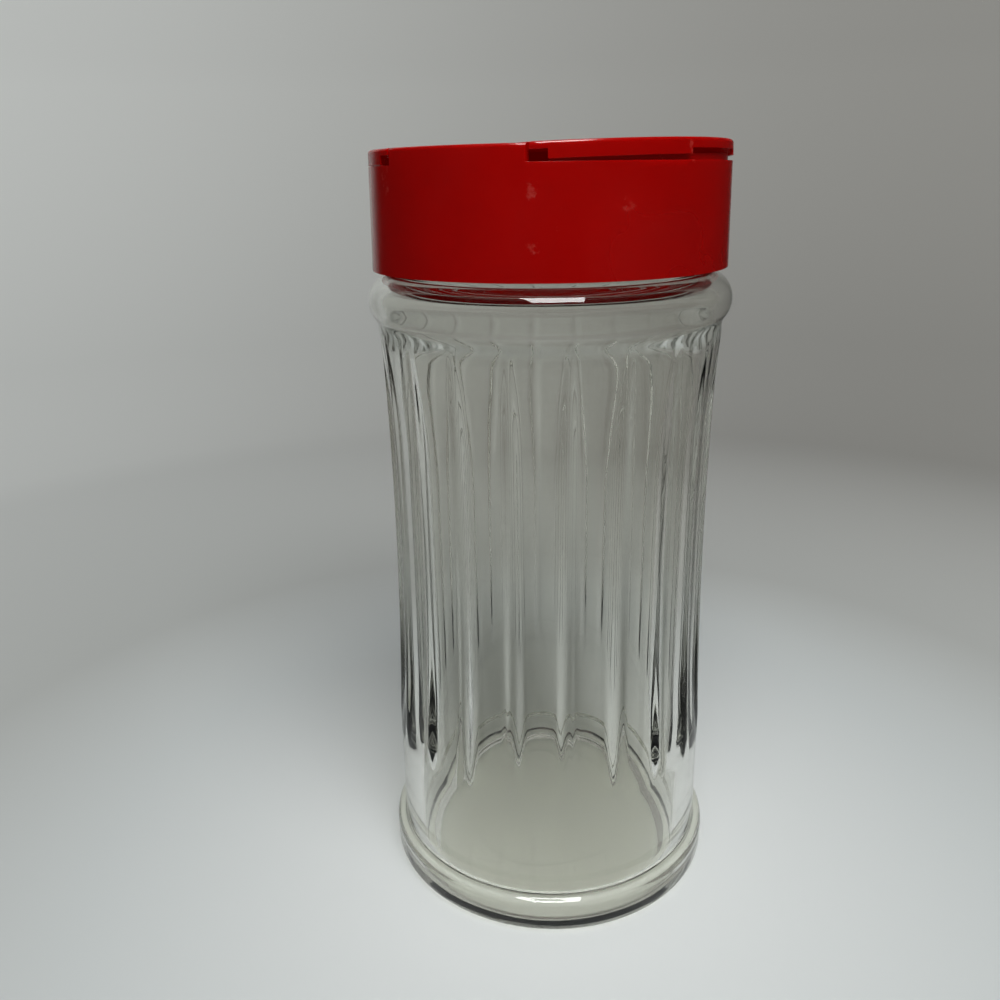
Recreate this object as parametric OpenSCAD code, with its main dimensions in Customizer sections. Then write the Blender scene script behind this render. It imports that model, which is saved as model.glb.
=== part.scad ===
// Glass spice jar with a screw cap. One flap of the cap opens a spoon slot, the other a set of shaker holes.
// Origin: centre of the base, on the table. +Z is up, and the flaps' hinge lines run along Y.

/* [Jar] */
// Height of the glass, from the table to the rim of the mouth
jar_h = 140.2; // [125:0.1:180]
// Radius of the plain glass below and above the flutes
body_r = 32.2; // [28:0.1:36]
// Thickness of the glass at the floor of a flute
wall = 1.9; // [1.2:0.1:5]
// Thickness of the glass under the contents, above the hollow
floor_t = 2.9; // [2:0.1:8]
// Radius of the curve between the bore and its floor
floor_round = 2.5; // [2:0.5:8]
// Height of the hollow under the base
push_up = 1.6; // [0.6:0.1:2.5]
// Width of the flat ring that the jar stands on
rest_w = 4.9; // [2:0.1:8]
// Height of the ring round the heel
heel_h = 7.4; // [5:0.1:12]
// How far the heel ring stands out of the body
heel_out = 1.9; // [0.6:0.1:3]
// Radius of the bottom edge of the heel ring
foot_round = 2.2; // [1:0.1:2.4]
// Radius of the top edge of the heel ring
heel_round = 1.6; // [0.5:0.1:2.4]

/* [Flutes] */
// Number of flutes round the body
flute_count = 20; // [16:1:24]
// Height at which the ridges between the flutes begin
flute_z0 = 29.5; // [22:0.5:45]
// Distance from the ridges' top ends up to the middle of the shoulder bead
flute_below_bead = 5.4; // [5:0.1:20]
// Depth of a flute, from the plain glass to its floor
flute_deep = 2.1; // [1.7:0.1:2.6]
// Width of a ridge's crest at the waist
ridge_w = 2.2; // [1:0.1:3]
// Height over which the lower end of a flute runs out
run_low = 13.5; // [6:0.5:18]
// Height over which the upper end of a flute runs out
run_high = 6.5; // [4:0.5:14]
// How far the ridges draw in at the waist
waist_in = 1.05; // [0.6:0.05:1.3]
// Height of the waist
waist_z = 76; // [65:1:85]
// Radius of the waist's long curve
waist_curve = 900; // [800:10:1200]

/* [Shoulder and neck] */
// How far the shoulder bead stands out of the body
bead_out = 1.6; // [0.8:0.1:2.5]
// Radius of the bead's section
bead_round = 5; // [4:0.1:5]
// Thickness of the glass inside the bead
bead_wall = 2.5; // [2:0.1:3.5]
// Height over which the inside closes in from the bead to the mouth
close_in = 3.1; // [2:0.1:4.5]
// Depth over which the inside closes in from the bead down to the bore
close_down = 8.4; // [6:0.1:12]
// Height of the neck above the bead
finish_h = 15.8; // [14:0.1:20]
// Radius of the neck under its thread
neck_r = 29.6; // [28:0.1:30.4]
// Thickness of the neck
neck_wall = 2.6; // [2.3:0.1:5]
// Radius of the rim's edges
lip_round = 0.8; // [0.3:0.1:1.2]

/* [Thread] */
// Rise of the thread in one turn
pitch = 4.23; // [3.8:0.01:5]
// Number of turns
turns = 1.5; // [1:0.25:1.75]
// How far the glass thread stands out of the neck
thread_rise = 1.4; // [1:0.05:1.6]
// Width of the glass thread at its foot
thread_foot = 2.3; // [1.8:0.1:2.4]
// Width of the glass thread at its crest
thread_crest = 0.9; // [0.6:0.1:1.2]
// Distance from the rim down to the middle of the thread's top end
thread_below_lip = 2.6; // [2.2:0.1:4]
// Gap between the glass thread and the wall of the cap
thread_gap = 0.45; // [0.3:0.05:0.8]
// Gap between the cap's thread and the neck
crest_gap = 0.5; // [0.3:0.05:0.8]
// How far the cap's thread sits above the middle of the gap in the glass thread
thread_lift = 0.45; // [0:0.05:0.5]

/* [Cap] */
// Thickness of the skirt
skirt_wall = 1.2; // [1:0.1:2]
// How much narrower the skirt is at the top
skirt_draft = 0.35; // [0:0.05:0.6]
// Gap between the skirt and the top of the shoulder bead
skirt_gap = 0.7; // [0.4:0.1:2]
// Thickness of the seal ring
seal_t = 1.2; // [0.8:0.1:2]
// Gap between the seal ring and the wall of the cap
seal_gap = 0.35; // [0.3:0.05:0.6]
// How far the seal ring reaches inside the mouth
seal_in = 0.4; // [0:0.1:1]
// Thickness of the deck that the openings go through
deck_t = 1.4; // [1:0.1:2]
// Height of the bridge between the flaps, above the deck
bridge_h = 2.7; // [2.2:0.1:4]
// Width of the bridge between its two hinge lines
bridge_w = 18; // [14:0.5:20]
// Width of the bridge's raised ends at the rim
bridge_end_w = 25.8; // [22:0.1:28]
// Thickness of the bridge over the hollow beneath it
bridge_t = 1.3; // [0.8:0.1:1.8]
// Radius of the top edges at the rim
edge_round = 0.6; // [0.3:0.1:0.7]

/* [Openings] */
// How far the round side of the spoon slot stays inside the mouth
spoon_inset = 1.5; // [1:0.1:5]
// Distance from a hinge line to the straight side of the spoon slot
spoon_from_hinge = 3; // [2.5:0.1:6]
// Diameter of a shaker hole
hole_d = 4.8; // [4:0.1:5]
// Distance between shaker holes in a row
hole_step = 8; // [7:0.5:9]
// Distance from a hinge line to the first row of shaker holes
row_from_hinge = 5.2; // [4.6:0.1:6]
// Distance between the two rows
row_step = 6.8; // [6.5:0.1:7.5]
// Holes in the row next to the hinge
holes_near = 4; // [2:1:5]
// Holes in the row next to the rim
holes_far = 3; // [1:1:3]

/* [Flaps] */
// Length of a flap along its hinge
flap_len = 56.2; // [50:0.1:58]
// Gap between a flap and the raised ends of the bridge
flap_side_gap = 0.5; // [0.3:0.1:1]
// Thickness of a flap's rim
rim_t = 1.4; // [1:0.1:2]
// Distance from the bridge's raised ends to the start of a flap's rim
rim_from_end = 3; // [1:0.1:4]
// Thickness of a flap's plate
plate_t = 1.1; // [0.8:0.1:1.5]
// Gap under the rim of a closed flap
flap_gap = 0.15; // [0.1:0.05:0.4]
// Thickness of the lip at the foot of a flap's rim
lip_t = 0.6; // [0.5:0.1:0.8]
// Height of the ring on the deck that the lip closes round
seat_h = 1; // [0.6:0.1:1.2]
// Width of that ring
seat_w = 1.2; // [0.8:0.1:1.6]
// Gap between the ring and the lip
seat_gap = 0.2; // [0.15:0.05:0.4]
// Angle at which the spoon flap stands ajar
spoon_ajar = 1.9; // [0:0.1:4]
// Angle that a thumb recess takes up at the rim
recess_angle = 33; // [26:1:50]
// Height of a thumb recess above the underside of the flap's rim
recess_h = 0.9; // [0.6:0.1:1.3]
// Radial depth of a thumb recess
recess_deep = 1.1; // [0.8:0.1:1.4]
// Thickness of the rib that closes the spoon slot
rib_t = 1; // [0.8:0.1:1.5]
// Gap between that rib and the edge of the slot
rib_gap = 0.55; // [0.4:0.05:1]
// How far the rib and the pegs reach into the deck
plug_deep = 0.6; // [0.3:0.1:0.9]
// Gap between a peg's tip and its hole
peg_gap = 0.8; // [0.6:0.1:1]
// Taper of a peg, from root to tip, on the radius
peg_taper = 0.3; // [0:0.1:0.4]

/* [Hinges] */
// Width of the thin web that a flap turns on
web_w = 1; // [0.7:0.1:1.4]
// Thickness of the web
web_t = 0.35; // [0.25:0.05:0.5]
// Length of one strip of web
web_len = 19; // [10:0.5:22]
// Gap between the two strips of a hinge
web_split = 8; // [4:0.5:10]

/* [Hidden] */

glass = [0.62, 0.66, 0.60, 0.45];
red_plastic = [0.66, 0.04, 0.03];
red_gasket = [0.58, 0.05, 0.04];

// How far a cutter runs past the face that it cuts
past = 1;
// How far a thread's foot is sunk in its wall
sunk = 0.6;
// Straight pieces in a small arc, in a flute's run-out and along the waist
arc_steps = 6;
run_steps = 6;
waist_steps = 8;
// Thread sections in one turn, and the angle over which a thread's ends fade
turn_steps = 36;
fade_angle = 30;

heel_r = body_r + heel_out;
push_up_r = heel_r - foot_round - rest_w;
flute_floor_r = body_r - flute_deep;
bore_r = flute_floor_r - wall;
waist_r = body_r - waist_in;
bead_z = jar_h - finish_h - bead_round;
bead_r = body_r + bead_out;
bead_centre_r = bead_r - bead_round;
belly_r = bead_r - bead_wall;
flute_z1 = bead_z - flute_below_bead;
floor_z = push_up + floor_t;

// A flute is the hollow left by a cylinder outside the body, which meets the waist at the ridges' edges
flute_half = 180 / flute_count - asin(ridge_w / 2 / waist_r);
cutter_at = (waist_r ^ 2 - flute_floor_r ^ 2) / (2 * (waist_r * cos(flute_half) - flute_floor_r));
cutter_r = cutter_at - flute_floor_r;

mouth_r = neck_r - neck_wall;
spoon_r = mouth_r - spoon_inset;
skirt_in_r = neck_r + thread_rise + thread_gap;
cap_r = skirt_in_r + skirt_wall;
cap_z0 = bead_z + bead_round + skirt_gap;
deck_z0 = jar_h + seal_t;
deck_z1 = deck_z0 + deck_t;
bridge_z = deck_z1 + bridge_h;

thread_z1 = jar_h - thread_below_lip;
thread_z0 = thread_z1 - turns * pitch;
cap_thread_rise = thread_rise + thread_gap - crest_gap;
cap_thread_drop = pitch / 2 - thread_lift;

hinge_x = bridge_w / 2;
hinge_z = bridge_z - web_t / 2;
web_x0 = hinge_x - web_w / 2;
flap_x0 = hinge_x + web_w / 2;
rim_in_r = cap_r - skirt_draft - rim_t;
end_y = flap_len / 2 + flap_side_gap;
wing_x0 = bridge_end_w / 2 + flap_side_gap;
rim_x0 = bridge_end_w / 2 + rim_from_end;
plate_z = bridge_z - plate_t;
lip_in_r = cap_r - skirt_draft - lip_t;
seat_r = lip_in_r - seat_gap;
spoon_x0 = hinge_x + spoon_from_hinge;
hole_rows = [
    [hinge_x + row_from_hinge, holes_near],
    [hinge_x + row_from_hinge + row_step, holes_far]
];

// Points of an arc in the section plane
function arc(r, z, radius, a0, a1) =
    [for (i = [0 : arc_steps]) let (a = a0 + (a1 - a0) * i / arc_steps) [r + radius * cos(a), z + radius * sin(a)]];

// Smooth run from one radius to another over a height
function run(r0, r1, z0, z1) =
    [for (i = [0 : run_steps]) let (t = i / run_steps) [r0 + (r1 - r0) * (1 - cos(180 * t)) / 2, z0 + (z1 - z0) * t]];

// Quarter of an ellipse, from its widest radius up to its top
function quarter(r0, r1, z0, z1) =
    [for (i = [0 : arc_steps]) let (a = 90 * i / arc_steps) [r1 + (r0 - r1) * cos(a), z0 + (z1 - z0) * sin(a)]];

function waist_at(z) = waist_r + (z - waist_z) ^ 2 / (2 * waist_curve);

// Half of a symmetrical trapezoid swept up a helix, its height fading out at both ends
module helix(foot_r, crest_r, foot_w, crest_w, z0) {
    steps = ceil(turns * turn_steps);
    fade = turn_steps * fade_angle / 360;
    sections = [for (i = [0 : steps])
        let (a = 360 * turns * i / steps)
        let (z = z0 + pitch * turns * i / steps)
        let (k = min(1, (i + 1) / fade, (steps + 1 - i) / fade))
        let (tip_r = foot_r + (crest_r - foot_r) * k)
        let (outline = [[foot_r, -foot_w / 2], [tip_r, -crest_w / 2], [tip_r, crest_w / 2], [foot_r, foot_w / 2]])
        [for (p = outline) [p[0] * cos(a), p[0] * sin(a), z + p[1]]]];
    outward = crest_r > foot_r;
    sides = [for (i = [0 : steps - 1]) for (j = [0 : 3])
        let (a = 4 * i + j)
        let (b = 4 * i + (j + 1) % 4)
        each [[a, b + 4, b], [a, a + 4, b + 4]]];
    last = 4 * steps;
    ends = [[0, 1, 2], [0, 2, 3], [last, last + 2, last + 1], [last, last + 3, last + 2]];
    faces = concat(sides, ends);
    polyhedron(
        points = [for (section = sections) each section],
        faces = outward ? [for (f = faces) [f[2], f[1], f[0]]] : faces,
        convexity = 6
    );
}

// Plain turned shape of the glass, with the flutes' floors as its waist
module turned_glass() {
    rotate_extrude($fn = 180)
        union() {
            polygon(concat(
                [[0, 0]],
                arc(heel_r - foot_round, foot_round, foot_round, -90, 0),
                arc(heel_r - heel_round, heel_h - heel_round, heel_round, 0, 90),
                [[body_r, heel_h]],
                run(body_r, flute_floor_r, flute_z0, flute_z0 + run_low),
                run(flute_floor_r, body_r, flute_z1 - run_high, flute_z1),
                [[body_r, bead_z], [neck_r, bead_z]],
                arc(neck_r - lip_round, jar_h - lip_round, lip_round, 0, 90),
                [[0, jar_h]]
            ));
            translate([bead_centre_r, bead_z])
                circle(r = bead_round, $fn = 90);
        }
}

// Ridges between the flutes, which narrow to points where they meet the plain glass
module ridges() {
    z0 = flute_z0 - past;
    z1 = flute_z1 + past;
    difference() {
        rotate_extrude($fn = 180)
            polygon(concat(
                [[0, z0]],
                [for (i = [0 : waist_steps]) let (z = z0 + (z1 - z0) * i / waist_steps) [waist_at(z), z]],
                [[0, z1]]
            ));
        for (i = [0 : flute_count - 1])
            rotate(360 * (i + 0.5) / flute_count - 90)
                translate([cutter_at, 0, z0 - past])
                    cylinder(r = cutter_r, h = z1 - z0 + 2 * past, $fn = 180);
    }
}

module glass_jar() {
    color(glass)
        union() {
            difference() {
                union() {
                    turned_glass();
                    ridges();
                }
                // Bore, which opens out inside the bead and closes in to the mouth
                rotate_extrude($fn = 180)
                    polygon(concat(
                        [[0, floor_z]],
                        arc(bore_r - floor_round, floor_z + floor_round, floor_round, -90, 0),
                        run(bore_r, belly_r, bead_z - close_down, bead_z),
                        quarter(belly_r, mouth_r, bead_z, bead_z + close_in),
                        arc(mouth_r + lip_round, jar_h - lip_round, lip_round, 180, 90),
                        [[mouth_r + lip_round, jar_h + past], [0, jar_h + past]]
                    ));
                // Hollow under the base
                rotate_extrude($fn = 180)
                    polygon([
                        [0, -past],
                        [push_up_r, -past],
                        [push_up_r, 0],
                        [push_up_r - push_up / 2, push_up / 2],
                        [0, push_up]
                    ]);
            }
            helix(neck_r - sunk, neck_r + thread_rise, thread_foot, thread_crest, thread_z0);
        }
}

module seal_ring() {
    color(red_gasket)
        translate([0, 0, jar_h])
            difference() {
                cylinder(r = skirt_in_r - seal_gap, h = seal_t, $fn = 180);
                translate([0, 0, -past])
                    cylinder(r = mouth_r - seal_in, h = seal_t + 2 * past, $fn = 180);
            }
}

// Solid outline of the closed cap up to a given height
module cap_outline(top) {
    rotate_extrude($fn = 180)
        polygon(concat(
            [[0, cap_z0], [cap_r, cap_z0]],
            arc(cap_r - skirt_draft - edge_round, top - edge_round, edge_round, 0, 90),
            [[0, top]]
        ));
}

// Space on one side of a hinge line, out to the rim
module beside(x, half_len, z0, z1) {
    translate([x, -half_len, z0])
        cube([cap_r + past - x, 2 * half_len, z1 - z0]);
}

// Half disc with its straight side along a hinge
module half_disc(x, r, z0, z1) {
    intersection() {
        translate([0, 0, z0])
            cylinder(r = r, h = z1 - z0, $fn = 180);
        beside(x, r + past, z0, z1);
    }
}

module shaker_holes(r_low, r_high, z0, z1) {
    for (row = hole_rows)
        for (i = [0 : row[1] - 1])
            translate([row[0], (i - (row[1] - 1) / 2) * hole_step, z0])
                cylinder(r1 = r_low, r2 = r_high, h = z1 - z0, $fn = 48);
}

// Room that one flap takes out of the raised top of the cap
module flap_pocket() {
    beside(web_x0, end_y, deck_z1, bridge_z + past);
    beside(bridge_end_w / 2, cap_r + past, deck_z1, bridge_z + past);
}

// Ring on the deck, on one side, that the lip of a flap closes round
module seat() {
    difference() {
        half_disc(rim_x0, seat_r, deck_z1 - sunk, deck_z1 + seat_h);
        translate([0, 0, deck_z1 - past])
            cylinder(r = seat_r - seat_w, h = seat_h + 2 * past, $fn = 180);
    }
}

module cap_body() {
    hollow_r = mouth_r - seal_in;
    hollow_half_w = web_x0 - bridge_t;
    color(red_plastic)
        union() {
            difference() {
                cap_outline(bridge_z);
                translate([0, 0, cap_z0 - past])
                    cylinder(r = skirt_in_r, h = deck_z0 - cap_z0 + past, $fn = 180);
                flap_pocket();
                mirror([1, 0, 0])
                    flap_pocket();
                half_disc(spoon_x0, spoon_r, deck_z0 - past, deck_z1 + past);
                mirror([1, 0, 0])
                    shaker_holes(hole_d / 2, hole_d / 2, deck_z0 - past, deck_z1 + past);
                // Hollow under the bridge
                intersection() {
                    translate([0, 0, deck_z0 - past])
                        cylinder(r = hollow_r, h = bridge_z - bridge_t - deck_z0 + past, $fn = 180);
                    translate([-hollow_half_w, -hollow_r, deck_z0 - past])
                        cube([2 * hollow_half_w, 2 * hollow_r, bridge_z]);
                }
            }
            seat();
            mirror([1, 0, 0])
                seat();
            helix(skirt_in_r + sunk, skirt_in_r - cap_thread_rise, thread_foot, thread_crest,
                thread_z0 - cap_thread_drop);
        }
}

// Lid over one side of the deck, hinged on the bridge, and closed
module flap() {
    rim_z = deck_z1 + flap_gap;
    difference() {
        intersection() {
            cap_outline(bridge_z);
            union() {
                beside(flap_x0, flap_len / 2, plate_z, bridge_z + past);
                beside(wing_x0, cap_r + past, plate_z, bridge_z + past);
                beside(rim_x0, cap_r + past, rim_z, bridge_z + past);
            }
        }
        translate([0, 0, rim_z - past])
            cylinder(r = rim_in_r, h = plate_z - rim_z + past, $fn = 180);
        translate([0, 0, rim_z - past])
            cylinder(r = lip_in_r, h = seat_h + past, $fn = 180);
        // Thumb recess
        translate([0, 0, rim_z - past])
            rotate(-recess_angle / 2)
                rotate_extrude(angle = recess_angle, $fn = 180)
                    translate([cap_r - recess_deep, 0])
                        square([recess_deep + past, recess_h + past]);
    }
}

module shaker_flap() {
    peg_r = hole_d / 2 - peg_gap;
    color(red_plastic)
        mirror([1, 0, 0])
            union() {
                flap();
                shaker_holes(peg_r, peg_r + peg_taper, deck_z1 - plug_deep, plate_z + sunk);
            }
}

module spoon_flap() {
    rib_r = spoon_r - rib_gap;
    rib_x = spoon_x0 + rib_gap;
    rib_z = deck_z1 - plug_deep;
    color(red_plastic)
        translate([hinge_x, 0, hinge_z])
            rotate([0, -spoon_ajar, 0])
                translate([-hinge_x, 0, -hinge_z])
                    union() {
                        flap();
                        difference() {
                            half_disc(rib_x, rib_r, rib_z, plate_z + sunk);
                            half_disc(rib_x + rib_t, rib_r - rib_t, rib_z - past, plate_z);
                        }
                    }
}

module hinge_web() {
    for (side = [-1, 1])
        translate([web_x0, side * (web_split + web_len) / 2 - web_len / 2, bridge_z - web_t])
            cube([web_w, web_len, web_t]);
}

module shaker_hinge() {
    color(red_plastic)
        mirror([1, 0, 0])
            hinge_web();
}

module spoon_hinge() {
    color(red_plastic)
        hinge_web();
}

glass_jar();
seal_ring();
cap_body();
shaker_flap();
spoon_flap();
shaker_hinge();
spoon_hinge();
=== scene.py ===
# %% [markdown]
# # A spice shaker: a fluted glass jar with a two-flap screw cap
#
# The jar is clear container glass with twenty flutes. Its screw cap is one red moulding with two
# flaps: one opens a slot for a spoon, the other a set of shaker holes. The exact solids were made
# beforehand and come in as a frame. Nothing in the frame is moved. Where a solid needs a better
# skin, a new piece is made in the same place and stands in for it.

# %% Load the frame
from math import ceil, cos, pi, radians, sin

import bmesh
import bpy
import numpy as np
from mathutils import Matrix, Vector


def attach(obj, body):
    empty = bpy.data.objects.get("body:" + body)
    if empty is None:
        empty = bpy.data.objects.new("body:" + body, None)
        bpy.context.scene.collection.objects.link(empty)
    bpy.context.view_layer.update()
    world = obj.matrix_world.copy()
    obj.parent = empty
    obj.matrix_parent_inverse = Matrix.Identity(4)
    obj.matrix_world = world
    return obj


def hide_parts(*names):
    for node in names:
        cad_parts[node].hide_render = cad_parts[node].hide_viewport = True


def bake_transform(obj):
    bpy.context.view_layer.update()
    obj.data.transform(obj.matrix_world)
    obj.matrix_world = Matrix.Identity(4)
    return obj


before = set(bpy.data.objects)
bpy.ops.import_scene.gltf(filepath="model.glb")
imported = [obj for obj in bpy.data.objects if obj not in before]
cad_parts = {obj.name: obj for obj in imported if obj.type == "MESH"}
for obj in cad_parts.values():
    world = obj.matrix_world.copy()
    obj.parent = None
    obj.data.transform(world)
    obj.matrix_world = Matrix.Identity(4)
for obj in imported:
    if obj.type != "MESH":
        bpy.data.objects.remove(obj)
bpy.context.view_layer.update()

print("nodes:", sorted(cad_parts))

# %% [markdown]
# ## Helpers for materials
#
# Blender works in metres and in linear light. Colours are written here as sRGB hex values, as a
# paint chart gives them, and one function turns them to linear. A material is a tree of nodes, so
# a second function adds one node with its settings and its links. A texture's scale counts its
# features per metre, so a third function works it out from the size of a feature in millimetres.

# %% Colours, nodes and scales
MM = 0.001


def linear(code, alpha=1.0):
    """An sRGB hex value as linear RGBA."""
    parts = [int(code[i:i + 2], 16) / 255 for i in (1, 3, 5)]
    return [p / 12.92 if p <= 0.04045 else ((p + 0.055) / 1.055) ** 2.4 for p in parts] + [alpha]


def repeats(size):
    """A texture's scale, for features of a size in millimetres."""
    return 1 / (size * MM)


def add(tree, kind, inputs=None, stops=None, **settings):
    """Adds a node, then gives its inputs values or links. Stops are a colour ramp's."""
    made = tree.nodes.new("ShaderNode" + kind)
    for name, value in settings.items():
        setattr(made, name, value)
    if stops:
        ramp = made.color_ramp.elements
        while len(ramp) < len(stops):
            ramp.new(1.0)
        for element, (place, colour) in zip(ramp, stops):
            element.position = place
            element.color = colour
    for key, value in (inputs or {}).items():
        socket = made.inputs[key]
        if isinstance(value, bpy.types.NodeSocket):
            tree.links.new(value, socket)
        else:
            socket.default_value = value
    return made


def material(name):
    """A new material with an empty node tree."""
    made = bpy.data.materials.new(name)
    made.use_nodes = True
    made.node_tree.nodes.clear()
    return made, made.node_tree


print("one repeat in 10 mm is a scale of", repeats(10))

# %% [markdown]
# Two measurements come up in more than one tree: how far a point is from the jar's axis, and
# whether a ray is a plain mirror reflection. A ray that goes into glass counts as glossy and as
# transmitted at once, so taking one from the other leaves only true reflections.

# %% Measurements inside a tree
def from_axis(tree, place):
    """The point laid flat on the floor, and its distance from the axis in metres."""
    laid = add(tree, "VectorMath", {0: place, 1: (1.0, 1.0, 0.0)}, operation="MULTIPLY").outputs["Vector"]
    return laid, add(tree, "VectorMath", {0: laid}, operation="LENGTH").outputs["Value"]


def only_mirrored(tree):
    """1 for a reflected ray, 0 for all others."""
    path = add(tree, "LightPath").outputs
    return add(tree, "Math", {0: path["Is Glossy Ray"], 1: path["Is Transmission Ray"]},
               operation="SUBTRACT").outputs["Value"]


# %% [markdown]
# ## Helpers for shapes
#
# A mesh is a list of points and a list of faces that name them by number. Nearly everything here
# is round, so one function makes a closed skin from rings of points. A ring's radius may vary
# round the axis, which is how flutes and a screw thread come out of the same grid as plain glass.

# %% Meshes and closed skins
def mesh_object(name, vertices, faces, finish):
    """A smooth-shaded object from vertices in metres and faces."""
    data = bpy.data.meshes.new(name)
    data.from_pydata(vertices, [], faces)
    data.update()
    data.polygons.foreach_set("use_smooth", [True] * len(data.polygons))
    data.materials.append(finish)
    made = bpy.data.objects.new(name, data)
    bpy.context.scene.collection.objects.link(made)
    return made


def turned(name, rings, finish, low=None, high=None):
    """A skin through rings of points in millimetres. A centre point closes either end."""
    rings = np.asarray(rings, float)
    count, columns = rings.shape[:2]
    vertices = rings.reshape(-1, 3).tolist()
    faces = []
    for i in range(count - 1):
        a, b = i * columns, (i + 1) * columns
        for j in range(columns):
            k = (j + 1) % columns
            faces.append((a + j, a + k, b + k, b + j))
    if low is not None:
        vertices.append(tuple(low))
        faces += [(len(vertices) - 1, (j + 1) % columns, j) for j in range(columns)]
    if high is not None:
        vertices.append(tuple(high))
        last = (count - 1) * columns
        faces += [(len(vertices) - 1, last + j, last + (j + 1) % columns) for j in range(columns)]
    return mesh_object(name, [tuple(v * MM for v in p) for p in vertices], faces, finish)


# %% [markdown]
# Glass has no sharp edges, because the flame that polishes it melts them. So the sections are
# built from arcs, and where two surfaces meet, a soft "larger of" rounds the corner between them.

# %% Soft curves
def arc(r, z, radius, a0, a1, steps):
    """Points of an arc in the section, as (radius, height), from angle a0 to a1 in degrees."""
    angles = [radians(a0 + (a1 - a0) * i / steps) for i in range(steps + 1)]
    return [(r + radius * cos(a), z + radius * sin(a)) for a in angles]


def ease(t):
    """A smooth step from 0 to 1."""
    t = np.clip(t, 0.0, 1.0)
    return t * t * (3 - 2 * t)


def soft_max(a, b, soft):
    """The larger of two radii, with the corner between them rounded."""
    h = np.clip(0.5 + 0.5 * (a - b) / soft, 0.0, 1.0)
    return b + (a - b) * h + soft * h * (1 - h)


print("halfway up a smooth step:", float(ease(0.5)))

# %% [markdown]
# ## The camera
#
# The view is that of a camera held about 180 mm from the jar's axis and a little below its top,
# looking down by 19 degrees and leaning by 1. It is placed on the jar's front, looking along Y, and
# then turned round the jar by 30 degrees, so that it sees the side of the spoon flap.

# %% Camera
FRONT_TURN = radians(30.3)
CAMERA_AT = Vector((-1.65, -178.2, 140.6)) * MM
CAMERA_YAW = radians(-2.639)
CAMERA_PITCH = radians(19.175)
CAMERA_ROLL = radians(-0.993)
FOCAL_PX = 926.1
IMAGE_PX = 1000
SENSOR = 36.0
NEAREST = 0.01

forward = Vector((sin(CAMERA_YAW) * cos(CAMERA_PITCH),
                  cos(CAMERA_YAW) * cos(CAMERA_PITCH),
                  -sin(CAMERA_PITCH)))
right = Vector((cos(CAMERA_YAW), -sin(CAMERA_YAW), 0.0))
up = right.cross(forward)
across = cos(CAMERA_ROLL) * right + sin(CAMERA_ROLL) * up
upward = -sin(CAMERA_ROLL) * right + cos(CAMERA_ROLL) * up
aim = Matrix((across, upward, -forward)).transposed().to_4x4()

camera_data = bpy.data.cameras.new("camera")
camera_data.sensor_width = SENSOR
camera_data.lens = FOCAL_PX * SENSOR / IMAGE_PX
camera_data.clip_start = NEAREST
camera = bpy.data.objects.new("camera", camera_data)
bpy.context.scene.collection.objects.link(camera)
camera.matrix_world = Matrix.Rotation(FRONT_TURN, 4, "Z") @ Matrix.Translation(CAMERA_AT) @ aim
bpy.context.scene.camera = camera
print("camera at", [round(v / MM, 1) for v in camera.matrix_world.translation], "mm")
print("lens", round(camera_data.lens, 2), "mm")

# %% [markdown]
# ## Flint glass
#
# Flint is the trade's word for clear soda-lime container glass, pressed to a rough shape and then
# blown into a mould. Its index of refraction is 1.52. Fire polishing leaves the skin smooth, so
# the eye gets crisp, bright highlights, only slightly rippled over a few millimetres, and a faint
# haze where hands have been. A trace of iron gives thick parts a grey-green cast. That cast is
# absorption inside the volume, so a thick base comes out darker than a thin wall by itself.
#
# A ray that looks for a lamp can't bend through glass, so real glass would cast a solid shadow.
# For those rays the surface turns plain transparent, with a tint for the light that it holds back.

# %% Flint glass
GLASS_IOR = 1.52
HAZE_MOST = 0.035
HAND_MARKS, RIPPLES = 18.2, 6.25
IRON_DENSITY = 8.0

flint_glass, tree = material("flint_glass_pressed_and_blown")
place = add(tree, "TexCoord").outputs["Object"]
handling = add(tree, "TexNoise", {"Vector": place, "Scale": repeats(HAND_MARKS), "Detail": 4.0,
                                  "Roughness": 0.6})
haze = add(tree, "MapRange", {"Value": handling.outputs["Fac"], "From Min": 0.45, "From Max": 0.8,
                              "To Min": 0.0, "To Max": HAZE_MOST})
waves = add(tree, "TexNoise", {"Vector": place, "Scale": repeats(RIPPLES), "Detail": 2.0})
ripple = add(tree, "Bump", {"Height": waves.outputs["Fac"], "Strength": 0.05, "Distance": 0.2 * MM})
glass_shader = add(tree, "BsdfPrincipled", {
    "Base Color": linear("#f3f3ef"), "Roughness": haze.outputs["Result"], "IOR": GLASS_IOR,
    "Transmission Weight": 1.0, "Normal": ripple.outputs["Normal"]})
iron_tint = add(tree, "VolumeAbsorption", {"Color": linear("#b9bdab"), "Density": IRON_DENSITY})
lamp_ray = add(tree, "LightPath").outputs["Is Shadow Ray"]
clear = add(tree, "BsdfTransparent", {"Color": linear("#e1e1de")})
glass_surface = add(tree, "MixShader", {0: lamp_ray, 1: glass_shader.outputs["BSDF"],
                                        2: clear.outputs["BSDF"]})
add(tree, "OutputMaterial", {"Surface": glass_surface.outputs["Shader"],
                             "Volume": iron_tint.outputs["Volume"]})
print("made", flint_glass.name, "with index", GLASS_IOR)

# %% [markdown]
# ## The jar's sizes
#
# The jar stands on a ring round a pushed-up base. A heel ring and a plain band follow, then the
# flutes, the shoulder bead and the neck with its screw thread. The waist of the fluted body is a
# little narrower than its ends. The outside follows the mould. The inside was made by air, so it
# keeps none of the flutes.

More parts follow.
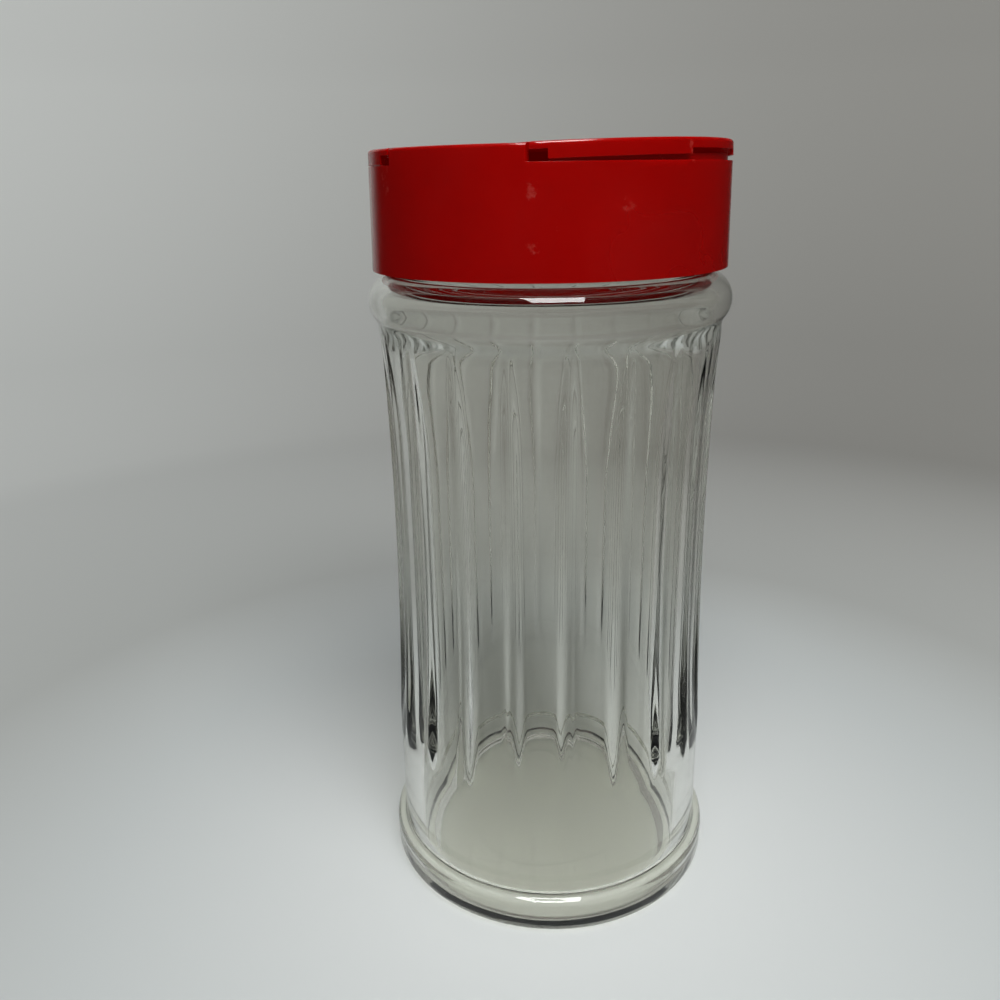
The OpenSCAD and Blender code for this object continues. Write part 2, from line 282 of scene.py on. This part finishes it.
# %% Sizes in millimetres
JAR_H, BODY_R, WALL = 140.2, 32.2, 1.9
FLOOR_T, FLOOR_ROUND, PUSH_UP, REST_W = 2.9, 2.5, 1.6, 4.9
HEEL_H, HEEL_R, FOOT_ROUND, HEEL_ROUND = 7.4, 34.1, 2.2, 1.6
FLUTES, FLUTE_Z0, FLUTE_Z1, FLUTE_FLOOR_R = 20, 29.5, 114.0, 30.1
WAIST_R, WAIST_Z, WAIST_CURVE = 31.15, 76.0, 900.0
BEAD_Z, BEAD_R, BEAD_ROUND = 119.4, 33.8, 5.0
NECK_R, MOUTH_R, LIP_ROUND = 29.6, 27.0, 0.8
PITCH, TURNS, THREAD_RISE, THREAD_FOOT, THREAD_CREST = 4.23, 1.5, 1.4, 2.3, 0.9
THREAD_Z0, THREAD_FADE = 131.255, 30.0
BORE_R, FLOOR_Z = FLUTE_FLOOR_R - WALL, PUSH_UP + FLOOR_T
print("bore", round(BORE_R, 2), "mm, floor at", round(FLOOR_Z, 2), "mm")

# %% [markdown]
# The grid has 22 columns to a flute. They stand closer together at a rib than in a hollow, because
# a rib bends the light more and needs a finer surface.

# %% Where the columns stand
COLUMNS_PER_FLUTE = 22
CROWD = 0.62
PERIOD = 360 / FLUTES

step = (np.arange(FLUTES * COLUMNS_PER_FLUTE) + 0.5) / COLUMNS_PER_FLUTE
from_ridge = step - np.round(step)
crowded = CROWD * np.sin(2 * pi * from_ridge) / (2 * pi)
turn_deg = PERIOD * (step - crowded)
turn = np.radians(turn_deg)
ridge_deg = PERIOD * (from_ridge - crowded)


def ring(r, z):
    """A ring of points at radius r and height z, each a number or one value per column."""
    r = np.broadcast_to(r, turn.shape)
    z = np.broadcast_to(z, turn.shape)
    return np.stack([r * np.cos(turn), r * np.sin(turn), z], 1)


print(len(turn), "columns,", round(float(np.diff(turn_deg).min()), 2), "degrees apart at a rib")

# %% [markdown]
# ## The fluted outside
#
# Between two flutes a rib stands up with a rounded crest. It is narrow at the top of the jar and
# broader below. The flute between is a shallow hollow. At both ends the plain glass slopes gently
# in under the flutes, so each flute ends in an arch and each rib runs out in a point.

# %% The fluted outside
RIB_HIGH, RIB_HALF_TOP, RIB_HALF_LOW, RIB_FOOT = 0.85, 1.4, 1.75, 0.25
HOLLOW, ARCH_SOFT, SLOPE = 0.2, 0.7, 0.12

rib_arc = np.radians(np.abs(ridge_deg)) * WAIST_R
flute_half = radians(PERIOD / 2) * WAIST_R


def body_radius(z):
    """Radius of the outside at one height, for every column."""
    crest = min(BODY_R, WAIST_R + (z - WAIST_Z) ** 2 / (2 * WAIST_CURVE))
    half = RIB_HALF_TOP + (RIB_HALF_LOW - RIB_HALF_TOP) * (FLUTE_Z1 - z) / (FLUTE_Z1 - FLUTE_Z0)
    rib = soft_max(1 - (rib_arc / half) ** 2, np.zeros_like(rib_arc), RIB_FOOT)
    middle = np.clip((flute_half - rib_arc) / (flute_half - half), 0, 1)
    fluted = crest - RIB_HIGH * (1 - rib) - HOLLOW * (1 - middle ** 2)
    plain = max(BODY_R - SLOPE * max(0.0, z - FLUTE_Z0), BODY_R - SLOPE * max(0.0, FLUTE_Z1 - z))
    joined = soft_max(fluted, np.full_like(fluted, plain), ARCH_SOFT)
    return np.minimum(joined, BODY_R)


print("a flute is", round(2 * flute_half, 1), "mm wide at the waist")

# %% [markdown]
# ## The screw thread
#
# The thread is a rounded bead of glass that climbs one pitch for each turn and fades out at both
# ends. At each height a column asks how far it is from the helix, and stands out if it is near.

# %% The screw thread
def thread_height(z):
    """How far the thread stands out at one height, for every column."""
    total = np.zeros_like(turn)
    for lap in range(ceil(TURNS)):
        angle = turn_deg % 360 + 360 * lap
        off = np.abs(z - THREAD_Z0 - PITCH * angle / 360)
        rise = ease((THREAD_FOOT / 2 - off) / ((THREAD_FOOT - THREAD_CREST) / 2))
        rise *= ease(np.minimum(angle, 360 * TURNS - angle) / THREAD_FADE)
        total = np.maximum(total, rise)
    return THREAD_RISE * total


print("the thread climbs", round(PITCH * TURNS, 2), "mm")

# %% [markdown]
# ## The base and the heel
#
# The underside is domed up a little, so the jar stands on a ring and doesn't rock. A faint uneven
# ring in the dome is the mark of the plate that closes the first, rough mould. It shows from above
# as a thin wavy line.

# %% The base and the heel
GROOVE_R, GROOVE_SWING, GROOVE_DEEP = 17.2, 0.45, 0.1
BASE_RINGS, PAST_GROOVE = (4, 10, 15), 21
groove_wave = np.sin(3 * turn + 0.6) + 0.6 * np.sin(5 * turn + 2.0)
groove = ((-0.8, 0.0), (-0.3, 0.9 * GROOVE_DEEP), (0.2, GROOVE_DEEP), (0.9, 0.0))
push_r = HEEL_R - FOOT_ROUND - REST_W
DOME_W, DOME_ROUND = 3.4, 0.4

rings = [ring(r, PUSH_UP) for r in BASE_RINGS]
rings += [ring(GROOVE_R + GROOVE_SWING * groove_wave + r, PUSH_UP + z) for r, z in groove]
rings += [ring(PAST_GROOVE, PUSH_UP)]
rings += [ring(push_r + DOME_ROUND - DOME_W * t, PUSH_UP * ease(t)) for t in (1.0, 0.8, 0.6, 0.4, 0.2, 0.0)]
rings += [ring(r, z) for r, z in arc(HEEL_R - FOOT_ROUND, FOOT_ROUND, FOOT_ROUND, -90, 0, 7)]
rings += [ring(r, z) for r, z in arc(HEEL_R - HEEL_ROUND, HEEL_H - HEEL_ROUND, HEEL_ROUND, 0, 80, 6)]
rings += [ring(BODY_R + 0.12, HEEL_H + 0.25)]
print("base and heel:", len(rings), "rings")

# %% [markdown]
# ## The body, the bead and the neck
#
# Rings stand close together where the flutes begin and end, because the arches are curved there,
# and further apart along the straight part. The bead is an arc of 108 degrees in section.

# %% The outside up to the lip
plain_band = np.linspace(HEEL_H + 1.2, 28, 10)
lower_arches = np.linspace(29, 47, 20)
straight_ribs = np.linspace(49, 101, 26)
upper_arches = np.linspace(102.5, 115, 18)
for z in np.concatenate([plain_band, lower_arches, straight_ribs, upper_arches]):
    rings.append(ring(body_radius(z), z))

NECK_FOOT = [(30.3, 124.05), (29.85, 124.25)]
rings += [ring(r, z) for r, z in arc(BEAD_R - BEAD_ROUND, BEAD_Z, BEAD_ROUND, -42, 66, 13) + NECK_FOOT]
for z in np.linspace(BEAD_Z + BEAD_ROUND + 0.3, JAR_H - LIP_ROUND, 36):
    rings.append(ring(NECK_R + thread_height(z), z))
rings += [ring(r, z) for r, z in arc(NECK_R - LIP_ROUND, JAR_H - LIP_ROUND, LIP_ROUND, 18, 90, 4)]
print("outside:", len(rings), "rings")

# %% [markdown]
# ## The inside
#
# The bore is narrow at the mouth, belly-shaped in the shoulder, and straight from there to the
# floor, which it meets in a rounded corner. The belly follows an ease curve down to the bore.

# %% The inside down to the floor
BELLY_R, BELLY_Z, BELLY_END, NECK_END = 31.3, 119.4, 111.0, 122.5
MOUTH_HEIGHTS, FLOOR_RINGS = (134, 129, 125, 123.2), (16, 11, 6)

rings += [ring(r, z) for r, z in arc(MOUTH_R + LIP_ROUND, JAR_H - LIP_ROUND, LIP_ROUND, 90, 180, 5)]
rings += [ring(MOUTH_R, z) for z in MOUTH_HEIGHTS]
for t in np.linspace(0, 90, 12):
    z = BELLY_Z + (NECK_END - BELLY_Z) * cos(radians(t))
    rings.append(ring(MOUTH_R + (BELLY_R - MOUTH_R) * sin(radians(t)), z))
for z in np.linspace(BELLY_Z - 0.6, BELLY_END, 8):
    rings.append(ring(BORE_R + (BELLY_R - BORE_R) * ease((z - BELLY_END) / (BELLY_Z - BELLY_END)), z))
rings += [ring(BORE_R, z) for z in np.linspace(BELLY_END - 3, FLOOR_Z + FLOOR_ROUND + 2, 16)]
rings += [ring(r, z) for r, z in arc(BORE_R - FLOOR_ROUND, FLOOR_Z + FLOOR_ROUND, FLOOR_ROUND, 0, -90, 10)]
rings += [ring(r, FLOOR_Z) for r in FLOOR_RINGS]

# %% The jar
jar = turned("jar_of_flint_glass", rings, flint_glass, low=(0, 0, PUSH_UP), high=(0, 0, FLOOR_Z))
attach(jar, "jar")
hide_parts("glass_jar")
print("jar:", len(rings), "rings,", len(jar.data.polygons), "faces")

# %% [markdown]
# ## Red polypropylene
#
# The cap is injection moulded in polypropylene, a slightly waxy plastic. A polished mould gives it
# a soft gloss with a roughness near 0.2, and handling leaves matt smears and a few pale scuffs. Its
# index is 1.49. Light goes about a millimetre into it and comes out red, which softens edges.
# Inside the cap the inner face gets a weak painted red glow, which stands in for light that soaks
# through the thin wall. A ramp on the distance from the axis turns that off at the skirt's outer
# skin. The top of the cap lies within that distance, so it gets the same small painted glow. The
# grain of the mould is 0.45 mm here, coarser than the real one, so that it can show at all.

# %% Red polypropylene
PLASTIC_IOR = 1.49
FLOW_MARKS, SCUFFS, SMEARS, MOULD_GRAIN = 16.7, 6.67, 22.2, 0.45
RED_REACH = (1.0, 0.06, 0.04)
INNER_FACE, OUTER_SKIN = 31.5 * MM, 31.9 * MM

red_plastic, tree = material("red_polypropylene_injection_moulded")
place = add(tree, "TexCoord").outputs["Object"]
flow = add(tree, "TexNoise", {"Vector": place, "Scale": repeats(FLOW_MARKS), "Detail": 3.0})
tone = add(tree, "ValToRGB", {"Fac": flow.outputs["Fac"]},
           stops=[(0.3, linear("#980402")), (0.7, linear("#a20503"))])
rub = add(tree, "TexNoise", {"Vector": place, "Scale": repeats(SCUFFS), "Detail": 6.0,
                             "Roughness": 0.65})
rubbed = add(tree, "MapRange", {"Value": rub.outputs["Fac"], "From Min": 0.645, "From Max": 0.7,
                                "To Max": 0.22})
worn = add(tree, "Mix", {0: rubbed.outputs["Result"], 6: tone.outputs["Color"],
                         7: linear("#d86a60")}, data_type="RGBA")
smears = add(tree, "TexNoise", {"Vector": place, "Scale": repeats(SMEARS), "Detail": 2.0,
                                "Distortion": 0.8})
gloss = add(tree, "MapRange", {"Value": smears.outputs["Fac"], "From Min": 0.4, "From Max": 0.7,
                               "To Min": 0.14, "To Max": 0.32})
grain = add(tree, "TexNoise", {"Vector": place, "Scale": repeats(MOULD_GRAIN), "Detail": 2.0})
skin = add(tree, "Bump", {"Height": grain.outputs["Fac"], "Strength": 0.15, "Distance": 0.05 * MM})
out = from_axis(tree, place)[1]
# Painted glow: faces inside the skirt's outer skin emit a weak red.
painted_inner_glow = add(tree, "ValToRGB", {"Fac": out},
             stops=[(0.0, linear("#320000")), (INNER_FACE, linear("#320000")),
                    (OUTER_SKIN, linear("#000000"))])
plastic_shader = add(tree, "BsdfPrincipled", {
    "Base Color": worn.outputs[2], "Roughness": gloss.outputs["Result"], "IOR": PLASTIC_IOR,
    "Subsurface Weight": 0.6, "Subsurface Radius": RED_REACH, "Subsurface Scale": 1.2 * MM,
    "Emission Color": painted_inner_glow.outputs["Color"], "Emission Strength": 1.0,
    "Normal": skin.outputs["Normal"]})
add(tree, "OutputMaterial", {"Surface": plastic_shader.outputs["BSDF"]})
print("made", red_plastic.name, "with index", PLASTIC_IOR)

# %% [markdown]
# ## The cap and its flaps
#
# The solids of the cap and the flaps have the right shapes but knife-sharp edges, and no moulding
# has those: the edge of a steel mould is rounded, and the rounding catches a thin highlight. So
# each solid is copied, its slivers are merged, and a bevel a quarter of a millimetre wide rounds
# the edges. Marking the sharp edges first keeps the broad faces free of odd shading.

# %% Rounded copies of the mouldings
EDGE_W, EDGE_STEPS = 0.25, 2
SAME_POINT, SAME_FACE, SHARP = 0.001, radians(0.45), radians(35)


def softened(node, name):
    """A copy of a solid with its edges rounded."""
    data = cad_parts[node].data.copy()
    work = bmesh.new()
    work.from_mesh(data)
    bmesh.ops.remove_doubles(work, verts=work.verts, dist=SAME_POINT * MM)
    bmesh.ops.dissolve_limit(work, angle_limit=SAME_FACE, verts=work.verts, edges=work.edges,
                             delimit={"NORMAL"})
    work.to_mesh(data)
    work.free()
    data.materials.clear()
    data.materials.append(red_plastic)
    data.polygons.foreach_set("use_smooth", [True] * len(data.polygons))
    data.set_sharp_from_angle(angle=SHARP)
    made = bpy.data.objects.new(name, data)
    bpy.context.scene.collection.objects.link(made)
    rounding = made.modifiers.new("rounding", "BEVEL")
    rounding.width = EDGE_W * MM
    rounding.segments = EDGE_STEPS
    rounding.limit_method = "ANGLE"
    rounding.angle_limit = SHARP
    rounding.harden_normals = True
    bpy.context.view_layer.update()
    shaped = bpy.data.meshes.new_from_object(made.evaluated_get(bpy.context.evaluated_depsgraph_get()))
    made.modifiers.clear()
    made.data = shaped
    shaped.name = name
    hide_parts(node)
    print(name, len(shaped.polygons), "faces")
    return made


# %% The three mouldings
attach(softened("cap_body", "cap_moulding"), "cap")
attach(softened("shaker_flap", "flap_over_the_shaker_holes"), "shaker_lid")
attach(softened("spoon_flap", "flap_over_the_spoon_slot"), "spoon_lid")

# %% [markdown]
# ## The living hinges
#
# A living hinge is a web of the same plastic, about a third of a millimetre thick, between two
# thick parts. It bends thousands of times without breaking. Each flap has two strips of it. A
# strip is swept across the hinge line in twelve steps.

# %% The hinge webs
HINGE_X, HINGE_Z = 9.0, 145.325
WEB_W, WEB_T, WEB_LEN, WEB_SPLIT = 1.0, 0.35, 19.0, 8.0
WEB_ROOT, WEB_STEPS = 0.25, 12
WEB_PROFILE = [(-1, -0.5), (-0.985, -0.85), (-0.96, -1), (0.96, -1), (0.985, -0.85), (1, -0.5),
               (1, 0.5), (0.985, 0.85), (0.96, 1), (-0.96, 1), (-0.985, 0.85), (-1, 0.5)]


def web(node, name, side):
    """Two thin strips at the hinge between the cap and a lid. A side is 1 or -1."""
    vertices, faces = [], []
    half_t, half_w = WEB_T / 2, WEB_W / 2 + WEB_ROOT
    n = len(WEB_PROFILE)
    for middle in (-1, 1):
        base = len(vertices)
        for i in range(WEB_STEPS + 1):
            x = side * (HINGE_X - half_w + 2 * half_w * i / WEB_STEPS)
            vertices += [(x * MM, (middle * (WEB_SPLIT + WEB_LEN) / 2 + y * WEB_LEN / 2) * MM,
                          (HINGE_Z + z * half_t) * MM) for y, z in WEB_PROFILE]
        for i in range(WEB_STEPS):
            for j in range(n):
                a, b = base + i * n + j, base + i * n + (j + 1) % n
                faces.append((a, b, b + n, a + n) if side > 0 else (a, a + n, b + n, b))
        first = [base + j for j in range(n)]
        last = [base + WEB_STEPS * n + j for j in range(n)]
        faces += [tuple(reversed(first)), tuple(last)] if side > 0 else [tuple(first), tuple(reversed(last))]
    made = mesh_object(name, vertices, faces, red_plastic)
    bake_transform(made)
    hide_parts(node)
    print(name, len(faces), "faces")
    return made


web("shaker_hinge", "living_hinge_of_the_shaker_flap", -1)
web("spoon_hinge", "living_hinge_of_the_spoon_flap", 1)

# %% [markdown]
# ## The seal ring
#
# A flat ring of soft low-density polyethylene lies between the jar's rim and the cap. It is moulded
# against a blasted surface, so it is matt, with no highlight. Its grain, a third of a millimetre
# here, is drawn coarser than the real one so that it shows. The weak glow stands for daylight that
# travels down the glass to it. The solid is good as it is, so it only gets a material.

# %% Red polyethylene
BLASTED_GRAIN = 0.333

red_gasket, tree = material("red_polyethylene_soft_moulded_matt")
place = add(tree, "TexCoord").outputs["Object"]
pits = add(tree, "TexVoronoi", {"Vector": place, "Scale": repeats(BLASTED_GRAIN)})
tone = add(tree, "ValToRGB", {"Fac": pits.outputs["Distance"]},
           stops=[(0.0, linear("#b41612")), (0.8, linear("#c01a16"))])
gasket_shader = add(tree, "BsdfPrincipled", {
    "Base Color": tone.outputs["Color"], "Roughness": 0.7,
    "Emission Color": linear("#4c0201"), "Emission Strength": 1.0})
add(tree, "OutputMaterial", {"Surface": gasket_shader.outputs["BSDF"]})
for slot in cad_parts["seal_ring"].material_slots:
    slot.material = red_gasket
print("made", red_gasket.name)

# %% [markdown]
# ## The paper sweep
#
# The jar stands on a sheet of matt white paper that curves up into a backdrop. Light and shade are
# painted into the paper's tone, as room light would fall: it is palest near the jar and again far
# out, with painted shade on the right and painted light with height. In plain mirror reflections
# the sides and the front show a painted dark room, which gives the cap its deep red, while straight
# behind stays pale for the edges of the glass.

# %% Matt white paper
PAPER_ROUGH, PAPER_SPECULAR = 0.9, 0.1

paper, tree = material("matt_white_paper")
place = add(tree, "TexCoord").outputs["Object"]
laid, out = from_axis(tree, place)
heading = add(tree, "VectorMath", {0: laid}, operation="NORMALIZE").outputs["Vector"]


def toward(turn_from_front, start, full):
    """0 to 1 as the backdrop turns toward a heading, in degrees to the right of the front."""
    angle = radians(turn_from_front - 90) + FRONT_TURN
    along = add(tree, "VectorMath", {0: heading, 1: (cos(angle), sin(angle), 0.0)}, operation="DOT_PRODUCT")
    return add(tree, "MapRange", {"Value": along.outputs["Value"], "From Min": start, "From Max": full},
               interpolation_type="SMOOTHSTEP").outputs["Result"]



# %% The paper's tone with painted light and shade, from the floor to the wall
# Painted light: the tone is palest near the jar, darkest a little way out and pale again far out.
spread = add(tree, "MapRange", {"Value": out, "From Max": 0.4})
tone = add(tree, "ValToRGB", {"Fac": spread.outputs["Result"]},
           stops=[(0.1, linear("#dfe3e2")), (0.25, linear("#ccd1d0")), (0.4, linear("#bcbfbc")),
                  (0.9, linear("#e4e7e4"))])
# Painted shade: far from the jar the paper turns grey toward the right.
far = add(tree, "MapRange", {"Value": out, "From Min": 0.12, "From Max": 0.35}).outputs["Result"]
shade = add(tree, "Math", {0: toward(110, -0.6, 0.9), 1: far}, operation="MULTIPLY").outputs["Value"]
shaded = add(tree, "Mix", {0: shade, 6: tone.outputs["Color"], 7: linear("#a8a7a2")}, data_type="RGBA")
# Painted light: the paper grows up to 28 percent brighter with height.
height = add(tree, "SeparateXYZ", {0: place}).outputs["Z"]
painted_light_by_height = add(tree, "MapRange", {"Value": height, "From Min": 0.04, "From Max": 0.2, "To Min": 1.0,
                              "To Max": 1.28})
with_painted_height_light = add(tree, "VectorMath", {0: shaded.outputs[2], "Scale": painted_light_by_height.outputs["Result"]},
             operation="SCALE")
# Painted reflection: mirrored rays that meet the paper away from the jar see a dark room colour, except
# straight behind.
near = add(tree, "MapRange", {"Value": out, "From Min": 0.05, "From Max": 0.15}).outputs["Result"]
painted_dark_room = add(tree, "Math", {0: toward(8, -0.96, -0.75), 1: only_mirrored(tree)}, operation="MULTIPLY")
painted_dark_room_mask = add(tree, "Math", {0: painted_dark_room.outputs["Value"], 1: near}, operation="MULTIPLY").outputs["Value"]
seen = add(tree, "Mix", {0: painted_dark_room_mask, 6: with_painted_height_light.outputs["Vector"], 7: linear("#262422")}, data_type="RGBA")
paper_shader = add(tree, "BsdfPrincipled", {"Base Color": seen.outputs[2], "Roughness": PAPER_ROUGH,
                                            "Specular IOR Level": PAPER_SPECULAR})
add(tree, "OutputMaterial", {"Surface": paper_shader.outputs["BSDF"]})
print("made", paper.name)

# %% [markdown]
# The sheet is a flat floor, a quarter circle and a wall, turned all round the jar so that every
# view has a backdrop. It lies a hair below the jar's foot. It throws no light back on the jar: the
# world does that evenly, so the cap keeps the round shading that the key lamp gives it.

# %% The sheet
SWEEP_FLAT, SWEEP_ROUND, SWEEP_H, FLOOR_DROP = 330.0, 220.0, 900.0, 0.15
SWEEP_STEP = 3

section = [(r, 0.0) for r in (20, 60, 100, 160, 240)]
section += arc(SWEEP_FLAT, SWEEP_ROUND, SWEEP_ROUND, -90, 0, 24)
section += [(SWEEP_FLAT + SWEEP_ROUND, SWEEP_H)]
angles = np.radians(np.arange(0, 360, SWEEP_STEP))
sweep_rings = [np.stack([r * np.cos(angles), r * np.sin(angles), np.full_like(angles, z - FLOOR_DROP)], 1)
               for r, z in section]
sweep = turned("floor_and_backdrop", sweep_rings, paper, low=(0, 0, -FLOOR_DROP))
sweep.visible_diffuse = False
print("sheet:", len(sweep.data.polygons), "faces")

# %% [markdown]
# ## Lamps
#
# Two large soft lamps hang above the front. The key gives the shading and the soft shadow but isn't
# seen in the gloss. The second is only seen in the gloss: it is the long highlight on the shoulder
# and the heel. Neither is seen through the glass, whose surface already lets lamp light pass.

# %% Lamps
LAMP_AIM = Vector((0, 0, 70 * MM))


def softbox(name, at, width, depth, power):
    """An area lamp at a place in millimetres, aimed at the middle of the jar."""
    data = bpy.data.lights.new(name, "AREA")
    data.shape = "RECTANGLE"
    data.size = width * MM
    data.size_y = depth * MM
    data.energy = power
    made = bpy.data.objects.new(name, data)
    made.visible_transmission = False
    bpy.context.scene.collection.objects.link(made)
    made.location = Matrix.Rotation(FRONT_TURN, 3, "Z") @ (Vector(at) * MM)
    made.rotation_euler = (made.location - LAMP_AIM).to_track_quat("Z", "Y").to_euler()
    print(name, power, "W")
    return made


key = softbox("lamp_key", (80, -340, 640), 400, 400, 4.4)
key.visible_glossy = False
sparkle = softbox("lamp_top", (18, -125, 700), 260, 380, 4.0)
sparkle.visible_diffuse = False

# %% [markdown]
# ## The world and the render's depth
#
# The world is a pale, even sky that fills the shadows. Reflections see it darker, as they would
# see a room. A ray inside thick glass bounces off its walls many times before it gets out, so the
# number of glossy bounces goes up to 12. With fewer, those rays end in black patches.

# %% World
FILL, FILL_MIRRORED, BOUNCES_IN_GLASS = 0.2, 0.05, 12

world = bpy.data.worlds.new("studio")
bpy.context.scene.world = world
world.use_nodes = True
world.node_tree.nodes.clear()
tree = world.node_tree
level = add(tree, "MapRange", {"Value": only_mirrored(tree), "To Min": FILL, "To Max": FILL_MIRRORED})
sky = add(tree, "Background", {"Color": linear("#e6e8e8"), "Strength": level.outputs["Result"]})
add(tree, "OutputWorld", {"Surface": sky.outputs["Background"]})

bpy.context.scene.view_settings.view_transform = "Standard"
bpy.context.scene.cycles.glossy_bounces = BOUNCES_IN_GLASS
print("fill", FILL, "and", BOUNCES_IN_GLASS, "bounces in the glass")
